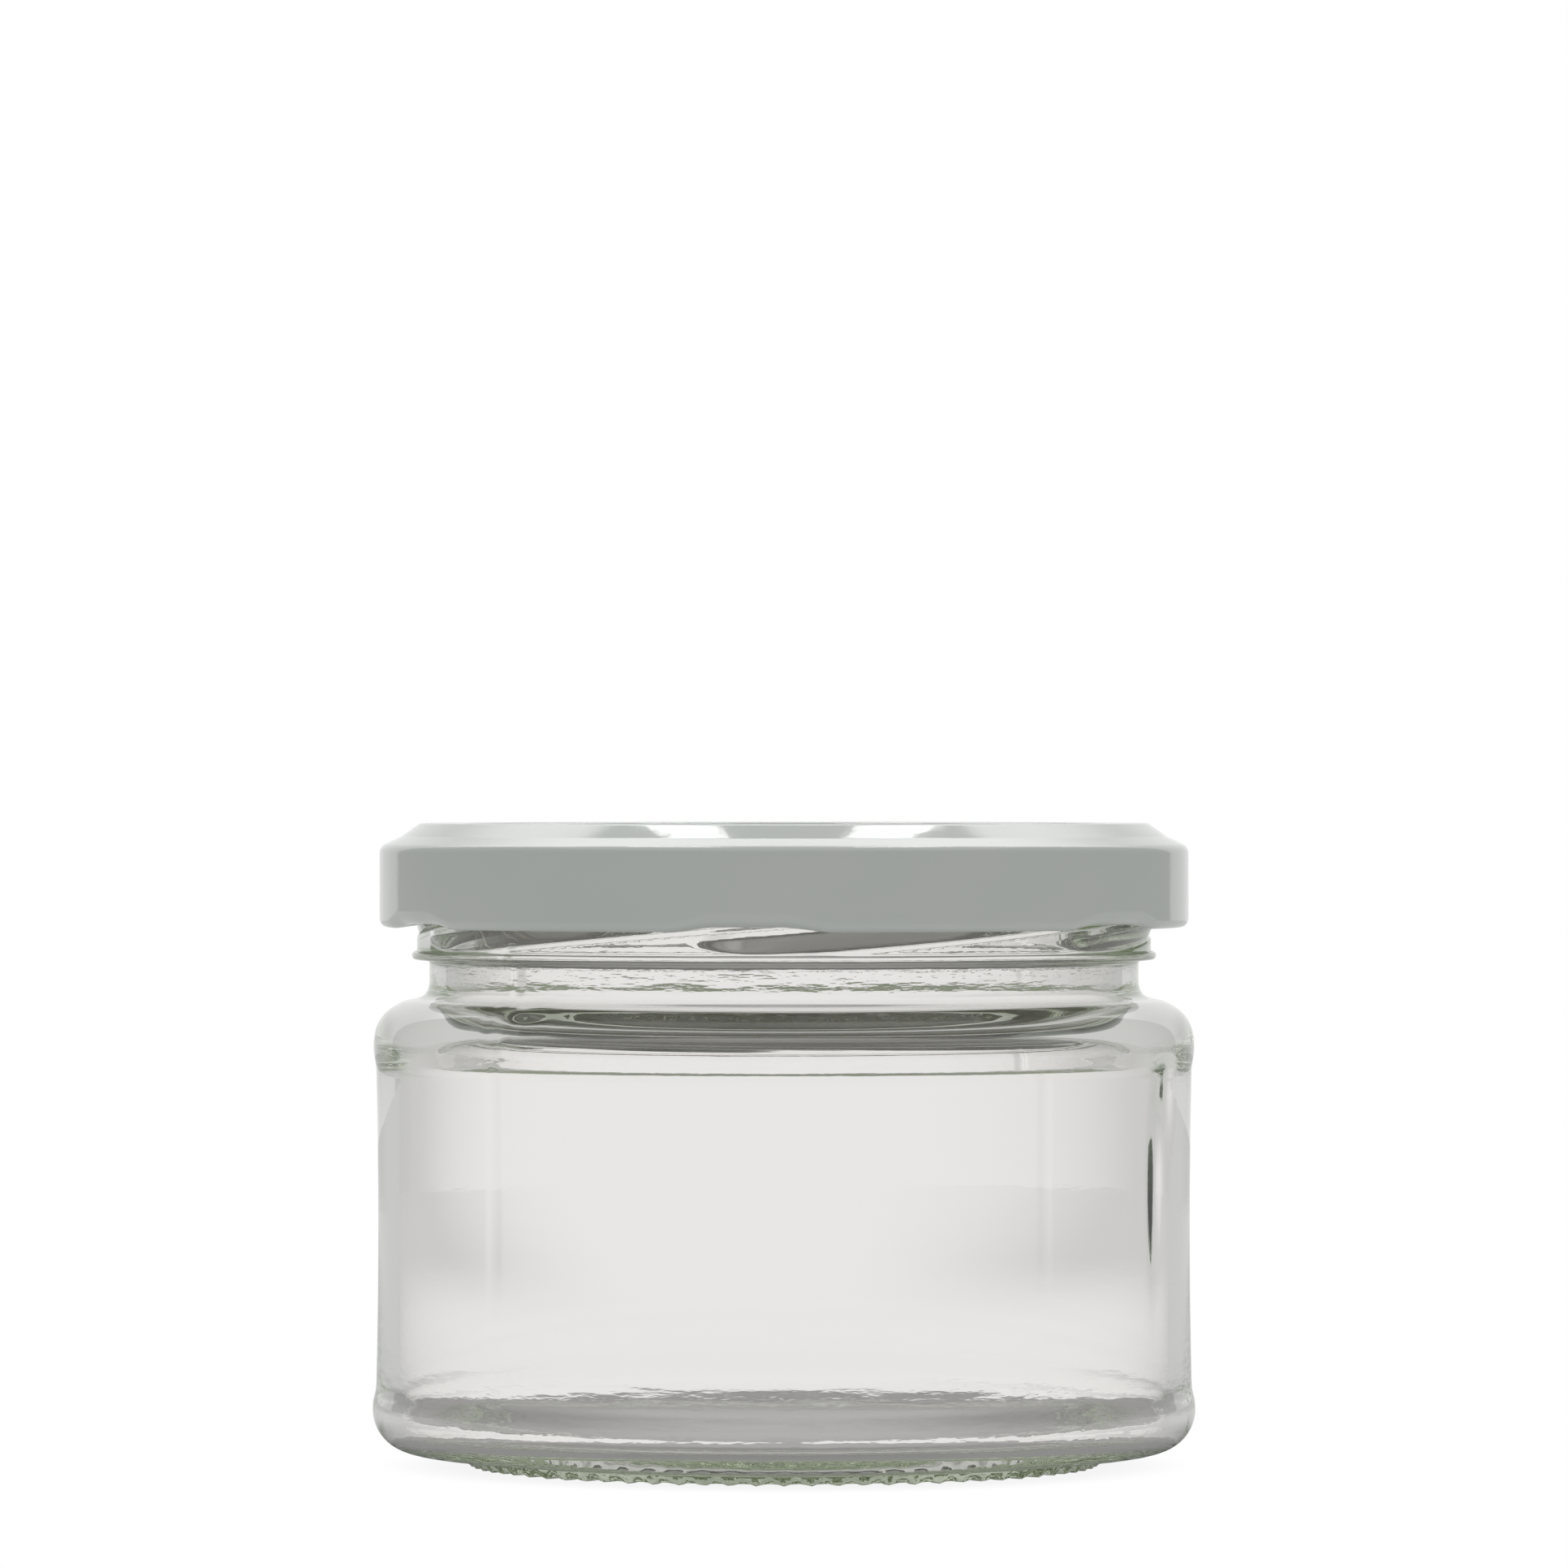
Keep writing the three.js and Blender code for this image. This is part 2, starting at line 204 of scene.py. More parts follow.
def noiseAt(tree, across, up, detail):  # size of the grain across and up
    place = tree.nodes.new("ShaderNodeTexCoord")
    grain = tree.nodes.new("ShaderNodeMapping")
    grain.inputs["Scale"].default_value = (1 / (across * mm), 1 / (across * mm), 1 / (up * mm))
    noise = tree.nodes.new("ShaderNodeTexNoise")
    noise.inputs["Scale"].default_value = 1
    noise.inputs["Detail"].default_value = detail
    tree.links.new(place.outputs["Object"], grain.inputs["Vector"])
    tree.links.new(grain.outputs["Vector"], noise.inputs["Vector"])
    return noise.outputs["Fac"]


def bumpAt(tree, height, depth):
    bump = tree.nodes.new("ShaderNodeBump")
    bump.inputs["Distance"].default_value = depth * mm
    tree.links.new(height, bump.inputs["Height"])
    return bump


# glass jar

jar = {
    "columns": 360,
    "bodyRadius": 42.8,      # both ends of the label panel
    "panelWaist": 0.2,
    "shoulderBulge": 0.3,
    "shoulderHeight": 7.0,   # widest point of the shoulder to the foot of the neck
    "shoulderFade": 3.0,
    "heelCentre": 5.9,
    "heelRound": 4.35,
    "heelStart": -85,        # degrees, where the round of the heel leaves the underside
    "heelFade": 3.1,
    "wall": 2.4,
    "bearingRadius": 33.0,   # ring that the jar stands on
    "bearingWidth": 1.7,
    "bearingStep": 1.2,
    "bearingFlank": 0.8,
    "bearingRound": 0.3,
    "underRound": 0.5,
    "underLead": 0.1,        # share of the underside's rise beside the ring
    "pushUp": 2.6,           # hollow under the middle
    "pushUpFlank": 3.0,
    "baseThickness": 2.6,
    "floorRound": 1.4,
    "floorLevel": 0.7,       # the floor starts level at its edge and again at its crown
    "floorCrown": 0.5,
    "innerFlareTop": 0.1,    # the bore opens out from here, above the foot of the neck
    "innerFlareFoot": -2.0,  # down to here, from the widest point of the shoulder
    "innerPullTop": 0.8,     # how long the curve stays upright at its two ends
    "innerPullFoot": 0.75,
    "neckRadius": 37.25,
    "neckLength": 2.1,
    "boreRadius": 34.8,
    "rimRound": 0.9,
    "finishHeight": 13.0,    # rim down to the underside of the bead
    "finishRadius": 38.3,    # floor of the thread grooves
    "beadRadius": 39.1,
    "beadHeight": 0.9,
    "insideFrom": 1.0,       # faces up to this far below the edge of the floor are outside
    "smoothAngle": 60,
}

jarSteps = {                 # into how many pieces each stretch of the outline is cut
    "pushUp": 12, "ring": 5, "underside": 4, "heel": 14, "fade": 8, "panel": 8, "flare": 14,
    "neck": 5, "beadFoot": 4, "bead": 8, "thread": 66, "aboveThread": 4, "rim": 6,
    "bore": 8, "innerFlare": 24, "innerWall": 14, "floorCorner": 10, "floor": 12,
}

flareShape = {               # shares of the run and the height from the shoulder to the neck
    "turnRun": 0.52,
    "turnDrop": 0.35,
    "angle": 26,
    "roundBelow": 0.37,
    "roundAbove": 0.34,
    "pullBelow": 0.32,
    "pullAbove": 0.28,
}

thread = {
    "starts": 6,
    "pitch": 3.33,
    "ridgeWidth": 1.65,
    "ridgeHeight": 0.9,
    "side": 0.5,             # rounded side of a ridge where a lug runs
    "sideLead": 0.2,         # share of that side outside the ridge's width
    "topDrop": 2.9,
    "topSpare": 0.4,         # the outline is finely cut up to here, above the thread
    "fadeTurn": 12,
    "lugDrop": 8.19,
    "lugFrontTurn": -5,      # a lug sits here when the lid is closed
    "behindTurn": 140,       # a ridge is followed this far behind its lug
    "fillet": 0.2,
    "flankTurn": 14,         # this far behind a lug the long lower flank starts
    "flankFade": 16,
    "flankTop": 0.45,        # it ends this far up its ridge
    "flankRun": 2.05,
    "flankLeast": 0.2,
    "brow": 0.4,             # short upper flank
    "footHeight": 0.25,      # where a ridge runs out into the bead
    "pocketRise": 0.95,      # closed end of a groove above the bead
    "pocketTurn": 9,         # degrees over which that end comes down to the bead
    "pocketFade": 7,
    "leastHeight": 0.002,    # lower than this it is left alone
}

knurl = {                    # small bars under the ring that the jar stands on
    "bars": 75,
    "depth": 0.3,
    "narrow": 3,
    "inner": 0.6,            # how far they reach past the ring on both sides
    "outer": 0.5,
    "fade": 0.8,
}

seam = {                     # where the two halves of the mould met
    "bodyTurn": -44,
    "bodyHeight": 0.04,
    "neckTurn": -47,
    "neckHeight": 0.25,
    "width": 0.9,
    "widestGap": 0.2,        # it stays off the widest rings
}

lap = {"turn": -39.2, "z": 48.4, "height": 0.45, "halfTurn": 2.5, "halfRise": 0.8}  # fold in the glass

thickSpots = [               # where the blown wall came out thicker, on its inner face
    {"turn": 66.3, "z": 29.5, "height": 0.19, "halfTurn": 1.9, "halfRise": 8.5},
    {"turn": 70.0, "z": 39.2, "height": 0.3, "halfTurn": 2.7, "halfRise": 2.8},
]

wrinkle = {                  # how strongly the blown inner face is wrinkled
    "outside": 0.01,
    "inside": 0.03,
    "neck": 0.9,
    "neckBelow": 2.5,        # starts this far below the foot of the neck
    "neckFadeIn": 2.0,
    "neckFadeOut": 1.5,
    "shoulder": 0.1,
    "shoulderBelow": 4.0,
    "shoulderFade": 3.0,
    "low": 0.45,
    "lowTop": 14.0,
    "lowFade": 8.0,
}

glass = {
    "surface": (1.0, 0.988, 0.986, 1),
    "refraction": 1.52,
    "grainAcross": 5.0,      # of the wrinkles
    "grainUp": 1.0,
    "grainDetail": 3,
    "grainDepth": 0.08,
    "tint": (0.83, 0.9, 0.74, 1),
    "tintDensity": 20,
}

beadBottom = jarTop - jar["finishHeight"]
beadTop = beadBottom + jar["beadHeight"]
neckFoot = beadBottom - jar["neckLength"]
shoulderCentre = neckFoot - jar["shoulderHeight"]
threadSlope = thread["pitch"] * thread["starts"] / 360


def jarOutside():
    bearingInner = jar["bearingRadius"] - jar["bearingWidth"]
    ringEnd = jar["bearingRadius"] + jar["bearingFlank"]
    heel = (jarRadius, jar["heelCentre"])
    panelLow = (jar["bodyRadius"], jar["heelCentre"] + jar["heelFade"])
    panelHigh = (jar["bodyRadius"], shoulderCentre - jar["shoulderFade"])
    waist = jar["bodyRadius"] - jar["panelWaist"] / handleReach
    third = (panelHigh[1] - panelLow[1]) / 3
    shoulder = (jar["bodyRadius"] + jar["shoulderBulge"], shoulderCentre)
    heelArc = arc(heel[0] - jar["heelRound"], heel[1], jar["heelRound"], jar["heelStart"], 0, jarSteps["heel"])
    hollowFoot = (bearingInner - jar["bearingFlank"], jar["bearingStep"] / 2)
    ringInside, ringOutside = (bearingInner, 0), (jar["bearingRadius"], 0)
    ringTop = (ringEnd, jar["bearingStep"])
    underStart = (ringEnd + jar["underRound"], mix(ringTop[1], heelArc[0][1], jar["underLead"]))
    return joined(
        sweep((0, jar["pushUp"]), (bearingInner / 2, jar["pushUp"]),
              (bearingInner - jar["pushUpFlank"], jar["bearingStep"]), hollowFoot, jarSteps["pushUp"]),
        corner(hollowFoot, ringInside, ringOutside, jar["bearingRound"], jarSteps["ring"]),
        corner(ringInside, ringOutside, ringTop, jar["bearingRound"], jarSteps["ring"]),
        corner(ringOutside, ringTop, heelArc[0], jar["underRound"], jarSteps["ring"]),
        line(underStart, heelArc[0], jarSteps["underside"]),
        heelArc,
        ease(heel, panelLow, jarSteps["fade"]),
        sweep(panelLow, (waist, panelLow[1] + third),
              (waist, panelHigh[1] - third), panelHigh, jarSteps["panel"]),
        ease(panelHigh, shoulder, jarSteps["fade"]),
        flare(shoulder, (jar["neckRadius"], neckFoot)),
    )


def flare(shoulder, neck):  # turns over part of the way up to the neck
    run, rise = shoulder[0] - neck[0], neck[1] - shoulder[1]
    over = (neck[0] + flareShape["turnRun"] * run, neck[1] - flareShape["turnDrop"] * rise)
    angle = math.radians(flareShape["angle"])
    lowPull, highPull = flareShape["pullBelow"] * run, flareShape["pullAbove"] * run
    below = (over[0] + lowPull * math.cos(angle), over[1] - lowPull * math.sin(angle))
    above = (over[0] - highPull * math.cos(angle), over[1] + highPull * math.sin(angle))
    leaveShoulder = (shoulder[0], shoulder[1] + flareShape["roundBelow"] * rise)
    reachNeck = (neck[0], neck[1] - flareShape["roundAbove"] * rise)
    steps = jarSteps["flare"]
    return sweep(shoulder, leaveShoulder, below, over, steps) + sweep(over, above, reachNeck, neck, steps)


def jarFinish():
    bead, rim = jar["beadHeight"] / 2, jar["rimRound"]
    neck, finish, bore = jar["neckRadius"], jar["finishRadius"], jar["boreRadius"]
    threadTop = jarTop - thread["topDrop"] + thread["topSpare"]
    return joined(
        line((neck, neckFoot), (neck, beadBottom - bead), jarSteps["neck"]),
        arc(neck + bead, beadBottom - bead, bead, 180, 90, jarSteps["beadFoot"]),
        arc(jar["beadRadius"] - bead, beadBottom + bead, bead, -90, 90, jarSteps["bead"]),
        arc(finish + bead, beadTop + bead, bead, -90, -180, jarSteps["beadFoot"]),
        line((finish, beadTop + bead), (finish, threadTop), jarSteps["thread"]),
        line((finish, threadTop), (finish, jarTop - rim), jarSteps["aboveThread"]),
        arc(finish - rim, jarTop - rim, rim, 0, 90, jarSteps["rim"]),
        arc(bore + rim, jarTop - rim, rim, 90, 180, jarSteps["rim"]),
    )


def jarInside():
    inside, bore = jar["bodyRadius"] - jar["wall"], jar["boreRadius"]
    flareTop = neckFoot + jar["innerFlareTop"]
    flareFoot = shoulderCentre + jar["innerFlareFoot"]
    height = flareTop - flareFoot
    topHandle = (bore, flareTop - jar["innerPullTop"] * height)
    footHandle = (inside, flareFoot + jar["innerPullFoot"] * height)
    floorEdge = jar["bearingStep"] + jar["baseThickness"]
    floorMiddle = jar["pushUp"] + jar["baseThickness"]
    floorRadius = inside - jar["floorRound"]
    rounded, steps = jar["floorRound"], jarSteps["floorCorner"]
    cornerArc = arc(floorRadius, floorEdge + rounded, rounded, 0, -90, steps)
    return joined(
        line((bore, jarTop - jar["rimRound"]), (bore, flareTop), jarSteps["bore"]),
        sweep((bore, flareTop), topHandle, footHandle, (inside, flareFoot), jarSteps["innerFlare"]),
        line((inside, flareFoot), cornerArc[0], jarSteps["innerWall"]),
        cornerArc,
        sweep(cornerArc[-1], (floorRadius * jar["floorLevel"], floorEdge),
              (floorRadius * jar["floorCrown"], floorMiddle), (0, floorMiddle), jarSteps["floor"]),
    )


def threadHeight(turn, z):  # how far the thread stands out of the groove floor
    side, lead = thread["side"], thread["sideLead"]
    foot = thread["footHeight"] / thread["ridgeHeight"]
    lowerAtLug = jarTop - thread["lugDrop"] + (thread["pitch"] - thread["ridgeWidth"]) / 2
    pocketTurn = (beadTop + thread["pocketRise"] - lowerAtLug) / threadSlope
    topTurn = (jarTop - thread["topDrop"] - thread["ridgeWidth"] - lowerAtLug) / threadSlope
    height = np.zeros_like(z)
    for start in range(thread["starts"]):
        t = turn - thread["lugFrontTurn"] - start * 360 / thread["starts"]
        t = (t + thread["behindTurn"]) % 360 - thread["behindTurn"]
        lower = lowerAtLug + threadSlope * t
        top = lower + thread["ridgeWidth"]
        full = smooth((topTurn - t) / thread["fadeTurn"])
        plain = full * smooth((z - lower) / side + lead) * smooth((top - z) / side + lead)
        pocket = beadTop + thread["pocketRise"] * (1 - smooth((t - pocketTurn) / thread["pocketTurn"]))
        flankTop = lower + thread["flankTop"]
        flankFoot = np.maximum(flankTop - thread["flankRun"], pocket)
        flank = np.clip((z - flankFoot) / np.maximum(flankTop - flankFoot, thread["flankLeast"]), 0, 1)
        free = smooth((t - pocketTurn) / thread["pocketFade"])
        sloped = mix(foot, flank, free) * smooth((top - z) / thread["brow"])
        behind = smooth((-t - thread["flankTurn"]) / thread["flankFade"])
        height = np.maximum(height, thread["ridgeHeight"] * mix(plain, sloped, behind))
    return height


def softMax(a, b, width):  # the larger of two, with a fillet where they cross
    overlap = np.clip(width - np.abs(a - b), 0, None)
    return np.maximum(a, b) + overlap ** 2 / (4 * width)


def raiseThread(r, z, turn):
    aboveBead = z > beadBottom + jar["beadHeight"] / 2
    onFinish = r > jar["finishRadius"] - samePoint
    height = threadHeight(turn, z)
    raised = softMax(r, jar["finishRadius"] + height, thread["fillet"])
    return np.where(aboveBead & onFinish & (height > thread["leastHeight"]), raised, r)


def pressKnurl(r, z, turn):
    inner = jar["bearingRadius"] - jar["bearingWidth"] - knurl["inner"]
    outer = jar["bearingRadius"] + knurl["outer"]
    onRing = smooth((r - inner) / knurl["fade"]) * smooth((outer - r) / knurl["fade"])
    bar = (0.5 + 0.5 * np.cos(np.radians(turn * knurl["bars"]))) ** knurl["narrow"]
    return np.where(z < jar["bearingStep"], z + knurl["depth"] * onRing * (1 - bar), z)


def swelling(spot, z, turn):
    across, up = (turn - spot["turn"]) / spot["halfTurn"], (z - spot["z"]) / spot["halfRise"]
    return spot["height"] * np.exp(-across ** 2 - up ** 2)


def raiseSeam(r, z, turn, outside):
    high = smooth((z - shoulderCentre) / jar["shoulderHeight"])
    height = mix(seam["bodyHeight"], seam["neckHeight"], high)
    raised = swelling(lap, z, turn)
    for side in (0, 180):
        seamTurn = mix(seam["bodyTurn"], seam["neckTurn"], high) + side
        away = np.abs((turn - seamTurn + 180) % 360 - 180)
        raised = raised + height * np.clip(1 - away / seam["width"], 0, 1)
    return np.where(outside & (r < jarRadius - seam["widestGap"]), r + raised, r)


def thickenWall(r, z, turn, outside):
    inWall = (~outside) & (z > jar["heelCentre"]) & (z < shoulderCentre)
    return np.where(inWall, r - sum(swelling(spot, z, turn) for spot in thickSpots), r)


def wrinkles(z, outside):
    neck = smooth((z - neckFoot + wrinkle["neckBelow"]) / wrinkle["neckFadeIn"])
    neck = neck * smooth((beadTop - z) / wrinkle["neckFadeOut"])
    shoulder = smooth((z - shoulderCentre + wrinkle["shoulderBelow"]) / wrinkle["shoulderFade"])
    shoulder = shoulder * smooth((neckFoot - z) / wrinkle["shoulderFade"])
    low = smooth((wrinkle["lowTop"] - z) / wrinkle["lowFade"])
    inside = wrinkle["inside"] + wrinkle["neck"] * neck + wrinkle["shoulder"] * shoulder + wrinkle["low"] * low
    return np.where(outside, wrinkle["outside"], inside)


def glassJar():
    piece = drawOutline("glassJar", joined(jarOutside(), jarFinish(), jarInside()))
    spinRound(jar["columns"])
    r, z, turn = readRings(piece)
    neckMiddle = (jar["boreRadius"] + jar["neckRadius"]) / 2
    bodyMiddle = jar["bodyRadius"] - jar["wall"] / 2
    underside = z < jar["bearingStep"] + jar["baseThickness"] - jar["insideFrom"]
    outside = (r > np.where(z > shoulderCentre, neckMiddle, bodyMiddle)) | underside
    storeShare(piece, "wrinkled", wrinkles(z, outside))
    r = thickenWall(r, z, turn, outside)
    r = raiseSeam(r, z, turn, outside)
    z = pressKnurl(r, z, turn)
    r = raiseThread(r, z, turn)
    writeRings(piece, r, z, turn)
    shadeSmooth(piece, jar["smoothAngle"])
    return piece


def clearGlass():
    material, tree = newMaterial("clearGlass")
    shader = tree.nodes["Principled BSDF"]
    shader.inputs["Base Color"].default_value = glass["surface"]
    shader.inputs["Roughness"].default_value = 0.0
    shader.inputs["IOR"].default_value = glass["refraction"]
    shader.inputs["Transmission Weight"].default_value = 1.0
    grain = noiseAt(tree, glass["grainAcross"], glass["grainUp"], glass["grainDetail"])
    bump = bumpAt(tree, grain, glass["grainDepth"])
    tree.links.new(shareAt(tree, "wrinkled"), bump.inputs["Strength"])
    tree.links.new(bump.outputs["Normal"], shader.inputs["Normal"])
    tint = tree.nodes.new("ShaderNodeVolumeAbsorption")
    tint.inputs["Color"].default_value = glass["tint"]
    tint.inputs["Density"].default_value = glass["tintDensity"]
    tree.links.new(tint.outputs["Volume"], tree.nodes["Material Output"].inputs["Volume"])
    return material


jarPiece = glassJar()
jarPiece.data.materials.append(clearGlass())
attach(jarPiece, "jar")
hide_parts("glass_jar")
print("glass jar made,", len(jarPiece.data.polygons), "faces")


# lid

lid = {
    "columns": 360,
    "sheet": 0.2,
    "hemRadius": 0.9,
    "hemTailTurn": 270,      # degrees that the rolled edge turns through
    "shoulderRound": 1.1,
    "shoulderDrop": 2.45,
    "bevelTopInset": 4.25,
    "bevelFootInset": 2.3,
    "bevelDrop": 1.4,
    "pressRound": 0.7,
    "ringWidth": 3.9,
    "panelStep": 1.2,
    "panelRecess": 1.1,
    "lugThickness": 1.1,
    "lugTip": 38.8,
    "lugTailGap": 0.6,
    "lugDent": 1.4,
    "lugRaise": 0.5,         # outer fold of a lug above the hem
    "lugHalfTurn": 4.6,
    "lugEndTurn": 7.0,
    "lugDentEnd": 70,        # degrees of the roll that become the dent,
    "lugFlatEnd": 120,       # the flat underside
    "lugFoldEnd": 220,       # and the fold at the tip; the rest runs back to the skirt
    "pressHeight": 60.0,     # the skirt stays as it is above this
    "rollSpare": 0.01,
    "smoothAngle": 50,
}

lidSteps = {"panel": 10, "press": 5, "bevelFoot": 4, "shoulder": 9, "skirt": 4, "pressed": 8, "hem": 36}

lacquer = {
    # outer coat: a white lacquer given a darker grey-green, painted shade of the back-lit lid; the cloud
    # between the two is random tone
    "shadedGreyDark": (0.56, 0.607, 0.578, 1),
    "shadedGreyLight": (0.635, 0.652, 0.622, 1),
    "insideDark": (0.81, 0.81, 0.78, 1),  # white coat inside
    "insideLight": (0.88, 0.88, 0.85, 1),
    "cloudAcross": 26,       # slow change of the colour
    "cloudUp": 14,
    "cloudDetail": 3,
    "roughness": 0.07,
    "refraction": 1.5,
    "peelGrain": 2.2,        # faint orange peel
    "peelDetail": 2,
    "peelDepth": 0.012,
}

bevelTop = (lidRadius - lid["bevelTopInset"], lidTop)
ringInner = bevelTop[0] - lid["ringWidth"]


def lidOutside():
    panel = lidTop - lid["panelRecess"]
    middle, stepFoot = (0, panel), (ringInner - lid["panelStep"], panel)
    stepTop = (ringInner, lidTop)
    bevelFoot = (lidRadius - lid["bevelFootInset"], lidTop - lid["bevelDrop"])
    skirtTop, skirtFoot = (lidRadius, lidTop - lid["shoulderDrop"]), (lidRadius, lidBottom)
    pressTop, hem = (lidRadius, lid["pressHeight"]), lid["hemRadius"]
    inner = corner(middle, stepFoot, stepTop, lid["pressRound"], lidSteps["press"])
    shoulder = corner(bevelFoot, skirtTop, skirtFoot, lid["shoulderRound"], lidSteps["shoulder"])
    return joined(
        line(middle, inner[0], lidSteps["panel"]),
        inner,
        corner(stepFoot, stepTop, bevelTop, lid["pressRound"], lidSteps["press"]),
        corner(stepTop, bevelTop, bevelFoot, lid["pressRound"], lidSteps["press"]),
        corner(bevelTop, bevelFoot, skirtTop, lid["pressRound"], lidSteps["bevelFoot"]),
        shoulder,
        line(shoulder[-1], pressTop, lidSteps["skirt"]),
        line(pressTop, (lidRadius, lidBottom + hem), lidSteps["pressed"]),
        arc(lidRadius - hem, lidBottom + hem, hem, 0, -lid["hemTailTurn"], lidSteps["hem"]),
    )


def lugPoint(around, lean):  # where a point of the rolled hem goes in a lug
    half, dent = lid["lugThickness"] / 2, lid["lugDent"]
    dentEnd, flatEnd, foldEnd = lid["lugDentEnd"], lid["lugFlatEnd"], lid["lugFoldEnd"]
    dentFoot = lidBottom + lid["lugRaise"]
    bottom = jarTop - thread["lugDrop"] - half + lean
    tip = lid["lugTip"] + half
    tail = lidRadius - lid["sheet"] - lid["lugTailGap"]
    a = np.radians(np.clip(around / dentEnd, 0, 1) * 90)
    r, z = lidRadius - dent + dent * np.cos(a), dentFoot + dent - dent * np.sin(a)
    flat = np.clip((around - dentEnd) / (flatEnd - dentEnd), 0, 1)
    r = np.where(around > dentEnd, mix(lidRadius - dent, tip, flat), r)
    z = np.where(around > dentEnd, mix(dentFoot, bottom, flat), z)
    b = np.radians(90 + 180 * np.clip((around - flatEnd) / (foldEnd - flatEnd), 0, 1))
    r = np.where(around > flatEnd, tip + half * np.cos(b), r)
    z = np.where(around > flatEnd, bottom + half - half * np.sin(b), z)
    back = np.clip((around - foldEnd) / (lid["hemTailTurn"] - foldEnd), 0, 1)
    return np.where(around > foldEnd, mix(tip, tail, back), r), z


def pressLugs(r, z, turn):
    hem, pressTop = lid["hemRadius"], lid["pressHeight"]
    hemTop = lidBottom + hem
    spacing = 360 / thread["starts"]
    fromLug = (turn - thread["lugFrontTurn"] + spacing / 2) % spacing - spacing / 2
    press = 1 - smooth((np.abs(fromLug) - lid["lugHalfTurn"]) / lid["lugEndTurn"])
    onSkirt = (r > lidRadius - sameVertex) & (z >= hemTop - sameVertex) & (z < pressTop)
    dentTop = lidBottom + lid["lugRaise"] + lid["lugDent"]
    down = (pressTop - z) / (pressTop - hemTop)
    rollR, rollZ = r - lidRadius + hem, z - hemTop
    onRoll = (~onSkirt) & (np.hypot(rollR, rollZ) < hem + lid["rollSpare"])
    z = np.where(onSkirt, mix(z, mix(pressTop, dentTop, down), press), z)
    around = np.degrees(np.arctan2(-rollZ, rollR)) % 360
    around = np.where(around > (lid["hemTailTurn"] + 360) / 2, 0, around)  # a hair before the start
    lugR, lugZ = lugPoint(around, threadSlope * fromLug)
    return np.where(onRoll, mix(r, lugR, press), r), np.where(onRoll, mix(z, lugZ, press), z)


def lidShell():
    piece = drawOutline("lidShell", lidOutside())
    spinRound(lid["columns"])
    r, z, turn = readRings(piece)
    r, z = pressLugs(r, z, turn)
    writeRings(piece, r, z, turn)
    outer = len(piece.data.vertices)  # the sheet's inner face comes after these
    sheet = piece.modifiers.new("sheet", "SOLIDIFY")
    sheet.thickness = lid["sheet"] * mm
    sheet.offset = -1
    pick(piece)
    bpy.ops.object.modifier_apply(modifier="sheet")
    storeShare(piece, "inside", np.arange(len(piece.data.vertices)) >= outer)
    shadeSmooth(piece, lid["smoothAngle"])
    return piece


def lidLacquer():
    material, tree = newMaterial("lidLacquer")
    shader = tree.nodes["Principled BSDF"]
    cloud = noiseAt(tree, lacquer["cloudAcross"], lacquer["cloudUp"], lacquer["cloudDetail"])
    # the outer grey is painted shade on a white lid; the inside keeps the white
    shadedGrey = blend(tree, cloud, lacquer["shadedGreyDark"], lacquer["shadedGreyLight"], "RGBA")
    white = blend(tree, cloud, lacquer["insideDark"], lacquer["insideLight"], "RGBA")
    colour = blend(tree, shareAt(tree, "inside"), shadedGrey, white, "RGBA")
    tree.links.new(colour, shader.inputs["Base Color"])
    shader.inputs["Roughness"].default_value = lacquer["roughness"]
    shader.inputs["IOR"].default_value = lacquer["refraction"]
    peel = noiseAt(tree, lacquer["peelGrain"], lacquer["peelGrain"], lacquer["peelDetail"])
    bump = bumpAt(tree, peel, lacquer["peelDepth"])
    tree.links.new(bump.outputs["Normal"], shader.inputs["Normal"])
    return material


lidPiece = lidShell()
lidPiece.data.materials.append(lidLacquer())
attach(lidPiece, "lid")
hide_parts("lid_shell")
print("lid made,", len(lidPiece.data.polygons), "faces")


# sealing ring

seal = {
    "columns": 240,
    "thickness": 0.75,
    "round": 0.3,
    "sideGap": 0.35,         # to the sides of the channel that it lies in
    "topGap": 0.1,
    "roundSteps": 5,
    "faceSteps": 8,
    "smoothAngle": 60,
}

compound = {
    "dark": (0.68, 0.65, 0.56, 1),
    "light": (0.76, 0.73, 0.64, 1),
    "cloudGrain": 5,
    "cloudDetail": 3,
    "roughness": 0.55,
    "flowGrain": 3,          # uneven surface of what was poured in
    "flowDetail": 2,
    "flowDepth": 0.03,
}


def sealingRing():
    rounded, steps = seal["round"], seal["roundSteps"]
    left, right = ringInner + seal["sideGap"] + rounded, bevelTop[0] - seal["sideGap"] - rounded
    top = lidTop - lid["sheet"] - seal["topGap"]
    bottom = top - seal["thickness"]
    outline = joined(
        arc(right, bottom + rounded, rounded, -90, 0, steps),
        arc(right, top - rounded, rounded, 0, 90, steps),
        arc(left, top - rounded, rounded, 90, 180, steps),
        arc(left, bottom + rounded, rounded, 180, 270, steps),
        line((left, bottom), (right, bottom), seal["faceSteps"]),
    )
    piece = drawOutline("sealingRing", outline)
    spinRound(seal["columns"])
    shadeSmooth(piece, seal["smoothAngle"])
    return piece


def sealingCompound():
    material, tree = newMaterial("sealingCompound")
    shader = tree.nodes["Principled BSDF"]
    cloud = noiseAt(tree, compound["cloudGrain"], compound["cloudGrain"], compound["cloudDetail"])
    tree.links.new(blend(tree, cloud, compound["dark"], compound["light"], "RGBA"), shader.inputs["Base Color"])
    shader.inputs["Roughness"].default_value = compound["roughness"]
    flow = noiseAt(tree, compound["flowGrain"], compound["flowGrain"], compound["flowDetail"])
    bump = bumpAt(tree, flow, compound["flowDepth"])
    tree.links.new(bump.outputs["Normal"], shader.inputs["Normal"])
    return material


